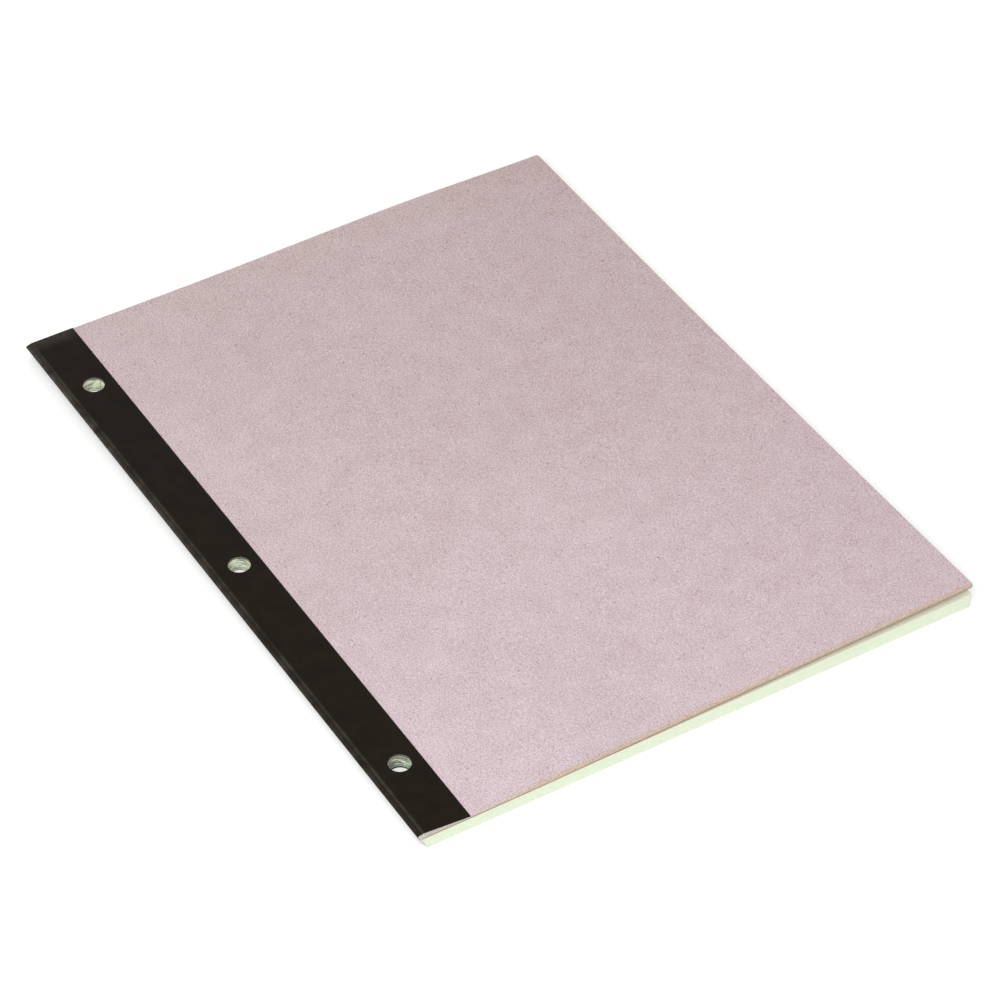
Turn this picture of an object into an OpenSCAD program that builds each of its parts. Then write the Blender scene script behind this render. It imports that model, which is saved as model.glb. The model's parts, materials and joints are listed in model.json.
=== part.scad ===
// Side-bound columnar pad: a chipboard cover over a stack of punched ledger sheets,
// held along the spine by padding glue and one strip of black binding tape.
// The pad lies flat with +X to the fore edge, +Y to the head and +Z up.
// The origin is under the middle of the pad, on the surface that it lies on.

/* [Sheets] */
// Width of a sheet, from the spine to the fore edge
sheet_w = 215.9; // [120:0.1:300]
// Length of a sheet, from the foot to the head
sheet_l = 279.4; // [228:0.1:440]
// Thickness of one sheet
sheet_t = 0.1; // [0.06:0.01:0.3]
// Number of sheets in the stack
sheet_count = 50; // [10:1:54]

/* [Cover] */
// Thickness of the chipboard cover
board_t = 0.8; // [0.4:0.05:2]
// Height by which the cover's fore corner at the foot has sprung up off the sheets
cover_lift = 4.2; // [0.2:0.1:10]
// Width of the cover that still lies flat along the foot, from the spine
cover_flat_w = 42; // [36:1:110]
// Radius of the cover's worn fore corners
corner_r = 1.2; // [0.2:0.1:10]
// Width of the strip along the cover's spine edge that is pressed down under the tape
edge_run = 1.9; // [0.3:0.1:4]
// Depth by which the cover's spine edge is pressed down
edge_drop = 0.65; // [0.1:0.05:1.5]

/* [Binding] */
// Distance by which the block's spine leans in, from the crease down to the last sheet
spine_lean = 2.7; // [0:0.1:4]
// Thickness of the padding glue on the spine
glue_t = 0.3; // [0.1:0.05:1]
// Thickness of the binding tape
tape_t = 0.25; // [0.1:0.05:0.6]
// Width of the tape on the cover, from the sheets' spine edge
tape_front_w = 18.3; // [16:0.1:35]
// Width of the tape under the last sheet, from the sheets' spine edge
tape_back_w = 18.3; // [16:0.1:35]
// Distance by which the tape's slanting end stops short of the foot at the spine
tape_short = 1.6; // [0.1:0.1:6]

/* [Punched holes] */
// Diameter of a hole
hole_d = 7.9; // [3:0.1:9]
// Distance from the sheets' spine edge to a hole's centre
hole_inset = 10.6; // [9:0.1:11.4]
// Distance between neighbouring holes
hole_pitch = 107.95; // [40:0.05:130]

/* [Hidden] */
// Names of the sheets, from the one under the cover down to the last
function sheet_name(i) = str("sheet_", i < 10 ? "0" : "", i);

// Places along X, from the tape's outer face to the fore edge
pad_w = tape_t + glue_t + sheet_w;
tape_x = -pad_w / 2;
glue_x = tape_x + tape_t;
sheet_x = glue_x + glue_t;
fore_x = sheet_x + sheet_w;

// Places along Z, from the tape under the stack to the crease that the cover turns on
stack_z = tape_t;
stack_h = sheet_count * sheet_t;
crease_z = stack_z + stack_h;

// How far the spine has leant in at a height in the stack
function lean(z) = spine_lean * (crease_z - z) / stack_h;

// The cover bends along a slanting line, from bend_x on the foot to the head's fore corner. Past the line
// it rises through an arc of bend_r and then runs straight on, so that the foot's fore corner gains cover_lift
bend_x = sheet_x + cover_flat_w;
bend_turn = atan2(fore_x - bend_x, sheet_l);
bend_reach = (fore_x - bend_x) * cos(bend_turn);
bend_r = min(1200, 0.4 * (bend_reach * bend_reach + cover_lift * cover_lift) / cover_lift);
bend_hub = norm([bend_r - cover_lift, bend_reach]);
bend_angle = atan2(bend_reach, bend_r - cover_lift) - acos(bend_r / bend_hub);
bend_facets = 12;
cover_top_z = crease_z + cover_lift + 2 * board_t;

// The pressed strip along the cover's spine edge stays inside the board's thickness
press_drop = min(edge_drop, 0.9 * board_t);
press_slope = atan2(press_drop, edge_run);
board_top_z = crease_z + board_t;

// The foot of the pad, and how far a cutting tool runs past what it cuts
foot_y = -sheet_l / 2;
over = 1;

// Runs a cross-section, drawn in X and Z, along the pad from foot to head, and past both ends if asked
module along_pad(from_y = foot_y, past = 0) {
    translate([0, past - foot_y, 0])
        rotate([90, 0, 0])
            linear_extrude(2 * past - foot_y - from_y)
                children();
}

// Drills the row of holes beside the spine through whatever it is given
module punched() {
    difference() {
        children();
        for (row = [-1:1])
            translate([sheet_x + hole_inset, row * hole_pitch, -over])
                cylinder(d = hole_d, h = cover_top_z + 2 * over, $fn = 96);
    }
}

// Outline of the cover seen from above, with its two fore corners rounded
module cover_outline() {
    translate([glue_x, foot_y])
        square([fore_x - corner_r - glue_x, sheet_l]);
    translate([glue_x, foot_y + corner_r])
        square([fore_x - glue_x, sheet_l - 2 * corner_r]);
    for (side = [-1, 1])
        translate([fore_x - corner_r, side * (sheet_l / 2 - corner_r)])
            circle(r = corner_r, $fn = 48);
}

// The sloping strip along the cover's spine edge, grown outwards by skin: its outer edge and its ridge
function pressed_strip(skin) =
    let (ridge = [glue_x + edge_run - skin * tan(press_slope / 2), board_top_z + skin])
    [[glue_x - skin, ridge[1] - (ridge[0] - glue_x + skin) * tan(press_slope)], ridge];

// One face of the sprung board, skin above its underside, as points from the bend line outwards
function bent_face(skin, far) = concat(
    [[-far, skin]],
    [for (k = [0:bend_facets])
        let (a = k * bend_angle / bend_facets)
        [(bend_r - skin) * sin(a), bend_r - (bend_r - skin) * cos(a)]],
    [[
        (bend_r - skin) * sin(bend_angle) + far * cos(bend_angle),
        bend_r - (bend_r - skin) * cos(bend_angle) + far * sin(bend_angle)
    ]]
);

// A wide sheet of board bent along the slanting line, larger than the cover on every side
module bent_sheet() {
    far = sheet_w + sheet_l;
    upper = bent_face(board_t, far);
    translate([bend_x, foot_y, crease_z])
        rotate([0, 0, -bend_turn])
            translate([0, far, 0])
                rotate([90, 0, 0])
                    linear_extrude(2 * far)
                        polygon(concat(bent_face(0, far), [for (k = [len(upper) - 1:-1:0]) upper[k]]));
}

// Wedge that the pressing takes off the board along the spine
module spine_corner() {
    strip = pressed_strip(0);
    along_pad(past = over)
        polygon([
            [glue_x - over, board_top_z + over],
            [glue_x - over, strip[0][1]],
            strip[0],
            strip[1],
            [strip[1][0], board_top_z + over]
        ]);
}

// Chipboard cover, flat beside the spine and sprung up at the foot's fore corner
module cover_board() {
    color([0.80, 0.75, 0.76])
        punched()
            difference() {
                intersection() {
                    bent_sheet();
                    linear_extrude(cover_top_z + over)
                        cover_outline();
                }
                spine_corner();
            }
}

// Part of the tape that moves with the cover: from the crease, up the pressed strip and onto the board
module binding_tape_front() {
    end_x = sheet_x + tape_front_w;
    inner = pressed_strip(0);
    outer = pressed_strip(tape_t);
    color([0.13, 0.12, 0.11])
        punched()
            difference() {
                along_pad()
                    polygon([
                        [glue_x, crease_z],
                        [tape_x, crease_z],
                        outer[0],
                        outer[1],
                        [end_x, outer[1][1]],
                        [end_x, board_top_z],
                        inner[1],
                        inner[0]
                    ]);
                translate([0, 0, crease_z - over])
                    linear_extrude(cover_top_z)
                        polygon([
                            [tape_x - over, foot_y - over],
                            [tape_x - over, foot_y + tape_short],
                            [tape_x, foot_y + tape_short],
                            [end_x, foot_y],
                            [end_x, foot_y - over]
                        ]);
            }
}

// Part of the tape on the leaning spine, from the crease down to the rounded fold at the bottom
module binding_tape_spine() {
    fold_x = glue_x + spine_lean;
    color([0.13, 0.12, 0.11])
        along_pad(foot_y + tape_short)
            polygon(concat(
                [[tape_x, crease_z], [glue_x, crease_z], [fold_x, stack_z]],
                [for (a = [0:7.5:90]) [fold_x - tape_t * sin(a), stack_z - tape_t * cos(a)]]
            ));
}

// Part of the tape under the last sheet, from the fold inwards
module binding_tape_back() {
    color([0.13, 0.12, 0.11])
        punched()
            translate([glue_x + spine_lean, foot_y + tape_short, 0])
                cube([glue_t + tape_back_w - spine_lean, sheet_l - tape_short, tape_t]);
}

// Film of padding glue that holds the sheets' spine edges together
module spine_glue() {
    color([0.93, 0.92, 0.86])
        along_pad()
            polygon([
                [glue_x, crease_z],
                [sheet_x, crease_z],
                [sheet_x + spine_lean, stack_z],
                [glue_x + spine_lean, stack_z]
            ]);
}

// One ledger sheet, counted from the cover downwards
module sheet(i) {
    top_z = crease_z - (i - 1) * sheet_t;
    low_z = crease_z - i * sheet_t;
    color([0.91, 0.96, 0.86])
        punched()
            along_pad()
                polygon([
                    [sheet_x + lean(top_z), top_z],
                    [fore_x, top_z],
                    [fore_x, low_z],
                    [sheet_x + lean(low_z), low_z]
                ]);
}

cover_board();
binding_tape_front();
binding_tape_spine();
binding_tape_back();
spine_glue();
for (i = [1:sheet_count])
    sheet(i);
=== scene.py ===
# %% [markdown]
# # A columnar pad
# A columnar pad is a block of ruled ledger sheets, glued along one edge, with a chipboard cover on top and
# one strip of black tape folded over the spine. The CAD model gives every size. Blender adds what CAD leaves
# out: the warp of the cover, the tape in one strip, the loose edges of fifty sheets, and the finishes.

# %% Load the CAD frame
import json
import math

import bpy
import numpy as np
from mathutils import Matrix, Vector

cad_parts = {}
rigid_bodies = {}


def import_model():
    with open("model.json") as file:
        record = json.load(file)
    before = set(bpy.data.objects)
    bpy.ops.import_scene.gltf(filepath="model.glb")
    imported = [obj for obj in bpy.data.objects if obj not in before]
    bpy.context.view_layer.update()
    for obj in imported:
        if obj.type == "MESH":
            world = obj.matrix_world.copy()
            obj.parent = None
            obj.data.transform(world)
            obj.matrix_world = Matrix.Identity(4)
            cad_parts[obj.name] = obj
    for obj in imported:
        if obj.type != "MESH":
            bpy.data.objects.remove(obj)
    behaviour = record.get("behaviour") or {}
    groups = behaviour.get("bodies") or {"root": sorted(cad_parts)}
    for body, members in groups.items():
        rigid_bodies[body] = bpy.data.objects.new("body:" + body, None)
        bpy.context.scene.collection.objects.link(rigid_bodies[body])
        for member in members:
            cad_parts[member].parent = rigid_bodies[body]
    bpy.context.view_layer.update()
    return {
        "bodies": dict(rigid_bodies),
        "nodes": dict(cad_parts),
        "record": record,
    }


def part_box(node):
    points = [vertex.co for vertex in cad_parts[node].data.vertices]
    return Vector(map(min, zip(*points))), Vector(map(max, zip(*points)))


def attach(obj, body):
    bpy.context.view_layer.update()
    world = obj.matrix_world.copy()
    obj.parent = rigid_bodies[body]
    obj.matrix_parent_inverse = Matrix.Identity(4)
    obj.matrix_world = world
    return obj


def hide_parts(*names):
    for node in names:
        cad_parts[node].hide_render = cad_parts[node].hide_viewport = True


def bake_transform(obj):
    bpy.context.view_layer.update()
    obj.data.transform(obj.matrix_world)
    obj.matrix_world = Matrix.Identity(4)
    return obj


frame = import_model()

MM = 0.001

# %% [markdown]
# ## Sizes
# A piece that takes its sizes from the CAD nodes needs no fitting afterwards. The boxes of a few nodes give
# the sheet, the board and the tape, and the mounts give the punched holes. From here on, u is the distance
# from the spine and v the distance from the foot, measured on the flat sheet.

# %% Read the sizes
sheet_low, sheet_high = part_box("sheet_01")
cover_low, cover_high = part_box("cover_board")
tape_low, tape_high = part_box("binding_tape_front")
back_low, back_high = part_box("binding_tape_back")
glue_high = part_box("spine_glue")[1]
bores = [mount for mount in frame["record"]["mounts"] if mount["kind"] == "bore"]
sheet_nodes = sorted(name for name in frame["nodes"] if name.startswith("sheet_"))
leaf_bodies = sorted(name for name in frame["bodies"] if name.startswith("leaf_"))

SPINE_X, FOOT_Y, CREASE_Z = sheet_low[0], sheet_low[1], sheet_high[2]
SHEET_W, SHEET_L = sheet_high[0] - SPINE_X, sheet_high[1] - FOOT_Y
SHEET_T = sheet_high[2] - sheet_low[2]
COVER_X, COVER_W = cover_low[0], cover_high[0] - cover_low[0]
TAPE_X, TAPE_T = tape_low[0], back_high[2] - back_low[2]
SPINE_LEAN = glue_high[0] - SPINE_X
BOARD_T = tape_high[2] - TAPE_T - CREASE_Z
LIFT = cover_high[2] - BOARD_T - CREASE_Z
HOLE_X, HOLE_R = bores[0]["pos_m"][0], bores[0]["dims"]["r_mm"] * MM
HOLE_VS = sorted(bore["pos_m"][1] - FOOT_Y for bore in bores)
print(f"{len(sheet_nodes)} sheets, {len(leaf_bodies)} of them turn; the cover lifts {LIFT / MM:.2f} mm, "
      f"the spine leans in by {SPINE_LEAN / MM:.2f} mm")

# %% [markdown]
# ## Camera
# The picture to match shows the pad from its foot and spine, from well above. The eye point, the direction
# and the focal length were solved from the pad's corners and holes, with the size of the sheets as the ruler.
# A long lens keeps the edges nearly parallel, as in a catalogue picture.

# %% Place the camera
EYE = Vector((-540.85, -889.59, 955.25)) * MM
HEADING, DOWN, ROLL = math.radians(31.609), math.radians(42.84), math.radians(0.433)
FOCAL_PX, IMAGE_PX, SENSOR_MM = 4042.6, 1000, 36

ahead = Vector((math.sin(HEADING) * math.cos(DOWN), math.cos(HEADING) * math.cos(DOWN), -math.sin(DOWN)))
level = ahead.cross(Vector((0, 0, 1))).normalized()
upright = level.cross(ahead)
right = level * math.cos(ROLL) + upright * math.sin(ROLL)
up = upright * math.cos(ROLL) - level * math.sin(ROLL)

camera = bpy.data.objects.new("camera", bpy.data.cameras.new("camera"))
camera.data.sensor_width = SENSOR_MM
camera.data.lens = FOCAL_PX / IMAGE_PX * SENSOR_MM
camera.matrix_world = Matrix.Translation(EYE) @ Matrix((right, up, -ahead)).transposed().to_4x4()
scene = bpy.context.scene
scene.collection.objects.link(camera)
scene.camera = camera
scene.view_settings.view_transform = "Standard"
print(f"camera {EYE.length:.2f} m away, lens {camera.data.lens:.1f} mm")

# %% [markdown]
# ## Nodes and colours
# Shader trees and geometry trees are both made of nodes, so one small function adds a node, sets it and
# links it. Colours are written as sRGB hex codes, as a paint program shows them, and shaders work in
# linear light, so one function turns the first into the second.

# %% Helpers for nodes and colours
MATH, VECTOR, MIX = "ShaderNodeMath", "ShaderNodeVectorMath", "ShaderNodeMix"
RANGE, NOISE, ATTRIBUTE = "ShaderNodeMapRange", "ShaderNodeTexNoise", "ShaderNodeAttribute"
FIRST, SECOND, MIXED = 6, 7, 2                # a Mix node's two colour inputs and its colour output
SPREAD = {"From Min": 0.3, "From Max": 0.7}   # most values of a noise texture lie between these


def feed(tree, node, inputs):
    """Sets a node's inputs. Each is a plain value, or the output socket that it is linked to."""
    for key, value in inputs.items():
        if isinstance(value, bpy.types.NodeSocket):
            tree.links.new(value, node.inputs[key])
        else:
            node.inputs[key].default_value = value


def add(tree, kind, inputs=None, **settings):
    """Adds a node with its settings and inputs to a tree, and gives back its outputs."""
    node = tree.nodes.new(kind)
    for name, value in settings.items():
        setattr(node, name, value)
    feed(tree, node, inputs or {})
    return node.outputs


def linear(code):
    """The linear colour of an sRGB hex code, with full alpha, by the standard's own curve."""
    shares = [int(code[i:i + 2], 16) / 255 for i in (1, 3, 5)]
    return [c / 12.92 if c <= 0.04045 else ((c + 0.055) / 1.055) ** 2.4 for c in shares] + [1]


def finish(name):
    """A new material with its node tree and its shader."""
    material = bpy.data.materials.new(name)
    material.use_nodes = True
    return material, material.node_tree, material.node_tree.nodes["Principled BSDF"]


print(f"a middle grey, #808080, is {linear('#808080')[0]:.3f} in linear light")

# %% [markdown]
# ## Studio
# The pad lies on a pale floor under soft light. The sky and one large lamp together give a level surface as
# much light as shows a colour about as it is written. Only what the camera, a reflection or a clear
# material sees of the surroundings is raised to white, so the backdrop stays white and the shadow stays.

# %% Light the studio
SKY, SKY_SEEN = 0.50, 1.0
LAMP_WATTS, LAMP_SIZE = 14.2, 0.9
LAMP_AT = Vector((-0.68, -0.75, 1.0))


def looked_at(tree):
    """1 for a ray from the camera, off a mirror or through glass, and 0 for one that only carries light."""
    ray = add(tree, "ShaderNodeLightPath")
    mirrored = add(tree, MATH, {0: ray["Is Glossy Ray"], 1: ray["Is Transmission Ray"]},
                   operation="MAXIMUM")[0]
    return add(tree, MATH, {0: ray["Is Camera Ray"], 1: mirrored}, operation="MAXIMUM")[0]


world = bpy.data.worlds.new("studio_sky")
world.use_nodes = True
scene.world = world
sky = world.node_tree
strength = add(sky, RANGE, {"Value": looked_at(sky), "To Min": SKY, "To Max": SKY_SEEN})["Result"]
feed(sky, sky.nodes["Background"], {"Color": linear("#FFFFFF"), "Strength": strength})

lamp = bpy.data.objects.new("soft_lamp", bpy.data.lights.new("soft_lamp", "AREA"))
lamp.data.energy, lamp.data.size = LAMP_WATTS, LAMP_SIZE
lamp.matrix_world = Matrix.Translation(LAMP_AT) @ LAMP_AT.to_track_quat("Z", "Y").to_matrix().to_4x4()
scene.collection.objects.link(lamp)
print(f"sky {SKY}, lamp {LAMP_WATTS} W at {LAMP_AT.length:.2f} m")

# %% [markdown]
# The floor is a sweep of matt paper. It scatters evenly, and what the camera sees of it is lifted to white,
# more so far from the lamp. Only rays that are looked along see the lift, so it throws no light on the pad.

# %% Lay the floor
FLOOR_HALF, FLOOR_DROP = 3.0, 0.03 * MM
LIFT_NEAR, LIFT_FAR, LIFT_RUN = 0.30, 0.62, (0.25, 1.6)
floor_mesh = bpy.data.meshes.new("floor")
floor_mesh.from_pydata([(x * FLOOR_HALF, y * FLOOR_HALF, -FLOOR_DROP)
                        for x, y in ((-1, -1), (1, -1), (1, 1), (-1, 1))], [], [(0, 1, 2, 3)])
floor = bpy.data.objects.new("floor", floor_mesh)
scene.collection.objects.link(floor)

paper_sweep, tree, shader = finish("paper_sweep")
place = add(tree, "ShaderNodeTexCoord")["Object"]
away = add(tree, VECTOR, {0: place}, operation="LENGTH")["Value"]
lift = add(tree, RANGE, {"Value": away, "From Min": LIFT_RUN[0], "From Max": LIFT_RUN[1],
                         "To Min": LIFT_NEAR, "To Max": LIFT_FAR})["Result"]
lifted = add(tree, MATH, {0: looked_at(tree), 1: lift}, operation="MULTIPLY")[0]
feed(tree, shader, {"Base Color": linear("#F3F3F2"), "Roughness": 1.0, "Specular IOR Level": 0.0,
                    "Emission Color": linear("#FFFFFF"), "Emission Strength": lifted})
floor_mesh.materials.append(paper_sweep)
print(f"floor {2 * FLOOR_HALF:.0f} m wide, {FLOOR_DROP / MM} mm under the pad")

# %% [markdown]
# ## Chipboard
# Chipboard is pressed from pulped waste paper. Up close it is a matt, pinkish grey felt of short fibres,
# some lighter and some darker than the rest, with specks of old ink and cloudy patches where the pulp was
# uneven. A noise texture alone would look like stone, so noise gives only the clouds and the mottling of the
# pulp, and the fibres are laid over it.

# %% Chipboard: the pulp
CLOUD_MM, DRIFT_MM, MOTTLE_MM = 9, 110, 0.6
MOTTLE, DRIFT = 0.16, 0.025
chipboard, tree, shader = finish("pressed_chipboard")
place = add(tree, "ShaderNodeTexCoord")["Object"]
spot = add(tree, VECTOR, {0: place, "Scale": 1 / MM}, operation="SCALE")[0]
apart = add(tree, "ShaderNodeSeparateXYZ", {0: spot})
clouds = add(tree, NOISE, {"Vector": spot, "Scale": 1 / CLOUD_MM, "Detail": 3, "Roughness": 0.55})["Fac"]
drift = add(tree, NOISE, {"Vector": spot, "Scale": 1 / DRIFT_MM, "Detail": 1})["Fac"]
mottle = add(tree, NOISE, {"Vector": spot, "Scale": 1 / MOTTLE_MM, "Detail": 3, "Roughness": 0.7})["Fac"]
patch = add(tree, RANGE, {**SPREAD, "Value": clouds})["Result"]
pulp = add(tree, MIX, {"Factor": patch, FIRST: linear("#D1BEC3"), SECOND: linear("#D8C7CD")},
           data_type="RGBA")[MIXED]
# Towards the head and the fore edge the board is a little darker and warmer.
for axis, low, shade in (("Y", FOOT_Y, "#F9F7F0"), ("X", SPINE_X, "#FAF7F7")):
    toward_head_and_fore = add(tree, RANGE, {"Value": apart[axis], "From Min": low / MM, "From Max": -low / MM})["Result"]
    pulp = add(tree, MIX, {"Factor": toward_head_and_fore, FIRST: pulp, SECOND: linear(shade)},
               data_type="RGBA", blend_type="MULTIPLY")[MIXED]
mottled = add(tree, RANGE, {**SPREAD, "Value": mottle, "To Min": 1 - MOTTLE, "To Max": 1 + MOTTLE})["Result"]
across = add(tree, RANGE, {**SPREAD, "Value": drift, "To Min": -DRIFT, "To Max": DRIFT})["Result"]
bright = add(tree, MATH, {0: mottled, 1: across}, operation="ADD")[0]
print(f"pulp: clouds of {CLOUD_MM} mm, mottling of {MOTTLE_MM} mm")

# %% [markdown]
# Each fibre is a short stroke in its own Voronoi cell, turned to a random angle. Painting them on a picture
# would be quicker, but a pattern made of nodes stays sharp at any distance. Real fibres are about ten times
# thinner. These are drawn as wide as about one pixel of the picture, so that they show.

# %% Chipboard: the fibres
FIBRES = [  # cell, width and length in mm, change of brightness, share of the cells with one, shift in mm
    (0.85, 0.32, 0.6, 0.24, 0.80, 0),
    (0.90, 0.32, 0.7, -0.22, 0.80, 311),
    (5.5, 0.34, 1.7, -0.26, 0.50, 677),
    (6.5, 0.30, 2.0, 0.20, 0.50, 941),
    (9.0, 0.60, 0.8, -0.34, 0.45, 523),
]
STROKE_EDGE, STROKE_CORE = 1.2, 0.6    # where a stroke has faded out and where it is full, in half widths
for cell, width, length, change, share, shift in FIBRES:
    moved = add(tree, VECTOR, {0: spot, 1: (shift, shift, 0)}, operation="ADD")[0]
    cells = add(tree, "ShaderNodeTexVoronoi", {"Vector": moved, "Scale": 1 / cell}, voronoi_dimensions="2D")
    chance = add(tree, "ShaderNodeSeparateColor", {0: cells["Color"]})
    turn = add(tree, MATH, {0: chance[0], 1: 2 * math.pi}, operation="MULTIPLY")[0]
    offset = add(tree, VECTOR, {0: moved, 1: cells["Position"]}, operation="SUBTRACT")[0]
    turned = add(tree, "ShaderNodeVectorRotate", {"Vector": offset, "Angle": turn}, rotation_type="Z_AXIS")[0]
    shaped = add(tree, VECTOR, {0: turned, 1: (2 / length, 2 / width, 0)}, operation="MULTIPLY")[0]
    away = add(tree, VECTOR, {0: shaped}, operation="LENGTH")["Value"]
    stroke = add(tree, RANGE, {"Value": away, "From Min": STROKE_EDGE, "From Max": STROKE_CORE})["Result"]
    there = add(tree, MATH, {0: chance[1], 1: share}, operation="LESS_THAN")[0]
    weight = add(tree, MATH, {0: there, 1: change}, operation="MULTIPLY")[0]
    bright = add(tree, MATH, {0: stroke, 1: weight, 2: bright}, operation="MULTIPLY_ADD")[0]
print(f"chipboard: {len(FIBRES)} kinds of fibre")

# %% [markdown]
# Along the foot the grey skin of the board is rubbed off and the tan core shows, in an uneven band that fades
# out beside the spine. The strip that the tape covers shows only at the tape's slanting end, greyed by the
# adhesive. Masks from the board's own coordinates place both, so nothing has to be painted.

# %% Chipboard: the worn face
RUBBED_MM, BAND_IN_MM, BAND_OUT_MM, BAND_MOST = 2.0, 1.5, 0.5, 0.75
HELD_MM, STUCK_MM, STUCK_FADE_MM = 22, 17, 1
PULP_GREY, FELT_RELIEF = 0.58, 0.05 * MM
foot_mm, spine_mm = FOOT_Y / MM, SPINE_X / MM
ragged = add(tree, MATH, {0: clouds, 1: -RUBBED_MM, 2: apart["Y"]}, operation="MULTIPLY_ADD")[0]
band = add(tree, RANGE, {"Value": ragged, "From Min": foot_mm + BAND_IN_MM, "From Max": foot_mm - BAND_OUT_MM,
                         "To Max": BAND_MOST})["Result"]
held = add(tree, RANGE, {"Value": apart["X"], "From Min": spine_mm + HELD_MM,
                         "From Max": spine_mm + 2 * HELD_MM})["Result"]
rubbed = add(tree, MATH, {0: band, 1: held}, operation="MULTIPLY")[0]
stuck = add(tree, RANGE, {"Value": apart["X"], "From Min": spine_mm + STUCK_MM + STUCK_FADE_MM,
                          "From Max": spine_mm + STUCK_MM})["Result"]
for mask, colour in ((rubbed, "#CDB598"), (stuck, "#C4BEB5")):
    pulp = add(tree, MIX, {"Factor": mask, FIRST: pulp, SECOND: linear(colour)}, data_type="RGBA")[MIXED]
# The fibres are added as a grey, which keeps the hue of the pulp.
grey = add(tree, MATH, {0: bright, 1: PULP_GREY, 2: -PULP_GREY}, operation="MULTIPLY_ADD")[0]
face = add(tree, VECTOR, {0: pulp, 1: grey}, operation="ADD")[0]
felt = add(tree, "ShaderNodeBump", {"Height": bright, "Strength": 0.25, "Distance": FELT_RELIEF})["Normal"]
feed(tree, shader, {"Base Color": face, "Normal": felt, "Roughness": 0.9, "Specular IOR Level": 0.25})
print(f"worn face: {len(tree.nodes)} nodes, a rubbed band that is ragged by {RUBBED_MM} mm")

# %% [markdown]
# A guillotine leaves the board's plies showing as tan streaks that run along the cut. The lower part of each
# cut is painted dark brown, a painted shade of the gap between the board and the sheets, and a drill smears
# the plies in a hole to one grey. Noise that is squeezed in height and stretched along the board gives the
# streaks.
# The plates that come later keep the side of each face as a number, and the depth of each point, and these
# tell the shader where it is.

# %% Chipboard: the cut edge
FRONT, BACK, OUTLINE, HOLE = 0, 1, 2, 3
PLY_MM, STREAK_MM, PLY_RELIEF = 0.16, 5.0, 0.05 * MM
GAP_SHADE_FROM, GAP_SHADE_MOST = 0.35, 0.85
cut_board, tree, shader = finish("cut_chipboard")
place = add(tree, "ShaderNodeTexCoord")["Object"]
plies = add(tree, "ShaderNodeMapping",
            {"Vector": place, "Scale": [1 / (size * MM) for size in (STREAK_MM, STREAK_MM, PLY_MM)]})[0]
streaks = add(tree, NOISE, {"Vector": plies, "Scale": 1, "Detail": 3, "Roughness": 0.6})["Fac"]
streaky = add(tree, RANGE, {**SPREAD, "Value": streaks})["Result"]
cut = add(tree, MIX, {"Factor": streaky, FIRST: linear("#AD9987"), SECOND: linear("#CAB8A7")},
          data_type="RGBA")[MIXED]
depth = add(tree, ATTRIBUTE, attribute_name="depth")["Fac"]
# The lower part of the cut edge is painted dark: painted shade of the gap between board and sheets.
gap_shade = add(tree, RANGE, {"Value": depth, "From Min": GAP_SHADE_FROM, "To Max": GAP_SHADE_MOST})["Result"]
side = add(tree, ATTRIBUTE, attribute_name="side")["Fac"]
in_hole = add(tree, MATH, {0: side, 1: HOLE - 0.5}, operation="GREATER_THAN")[0]
for mask, colour in ((gap_shade, "#7E6850"), (in_hole, "#77736A")):
    cut = add(tree, MIX, {"Factor": mask, FIRST: cut, SECOND: linear(colour)}, data_type="RGBA")[MIXED]
rough = add(tree, "ShaderNodeBump", {"Height": streaks, "Strength": 0.3, "Distance": PLY_RELIEF})["Normal"]
feed(tree, shader, {"Base Color": cut, "Normal": rough, "Roughness": 0.95, "Specular IOR Level": 0.2})
print(f"cut edge: streaks {PLY_MM} mm high and {STREAK_MM} mm long")

# %% [markdown]
# ## Tape coating
# The tape is thin cloth under a black coating, calendered to a satin. It is nearly black, a little brown, and
# shows a soft highlight broken up by a faint grain. Where it turns over the spine it is painted grey: partly
# rubbed coating, partly a painted highlight along the ridge.
# The tape bends at the crease, so its pattern follows its own UV map, in metres along the strip. The grain of
# the cloth is drawn about twice as coarse as it is, so that it shows.

# %% Tape coating: black cloth tape
GRAIN_MM, RUB_MM, GRAIN_RELIEF = 0.6, 7.0, 0.04 * MM
GRAIN_SHARE, CLOUDY = 0.5, {"From Min": 0.5, "From Max": 1.0}
tape_coating, tree, shader = finish("coated_cloth_tape")
place = add(tree, "ShaderNodeUVMap", uv_map="flat")["UV"]
spot = add(tree, VECTOR, {0: place, "Scale": 1 / MM}, operation="SCALE")[0]
grain = add(tree, NOISE, {"Vector": spot, "Scale": 1 / GRAIN_MM, "Detail": 2, "Roughness": 0.6})["Fac"]
rubs = add(tree, NOISE, {"Vector": spot, "Scale": 1 / RUB_MM, "Detail": 4, "Roughness": 0.6})["Fac"]
uneven = add(tree, MATH, {0: grain, 1: GRAIN_SHARE, 2: rubs}, operation="MULTIPLY_ADD")[0]
cloudy = add(tree, RANGE, {**CLOUDY, "Value": uneven})["Result"]
black = add(tree, MIX, {"Factor": cloudy, FIRST: linear("#130F08"), SECOND: linear("#1D180F")},
            data_type="RGBA")[MIXED]
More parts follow.
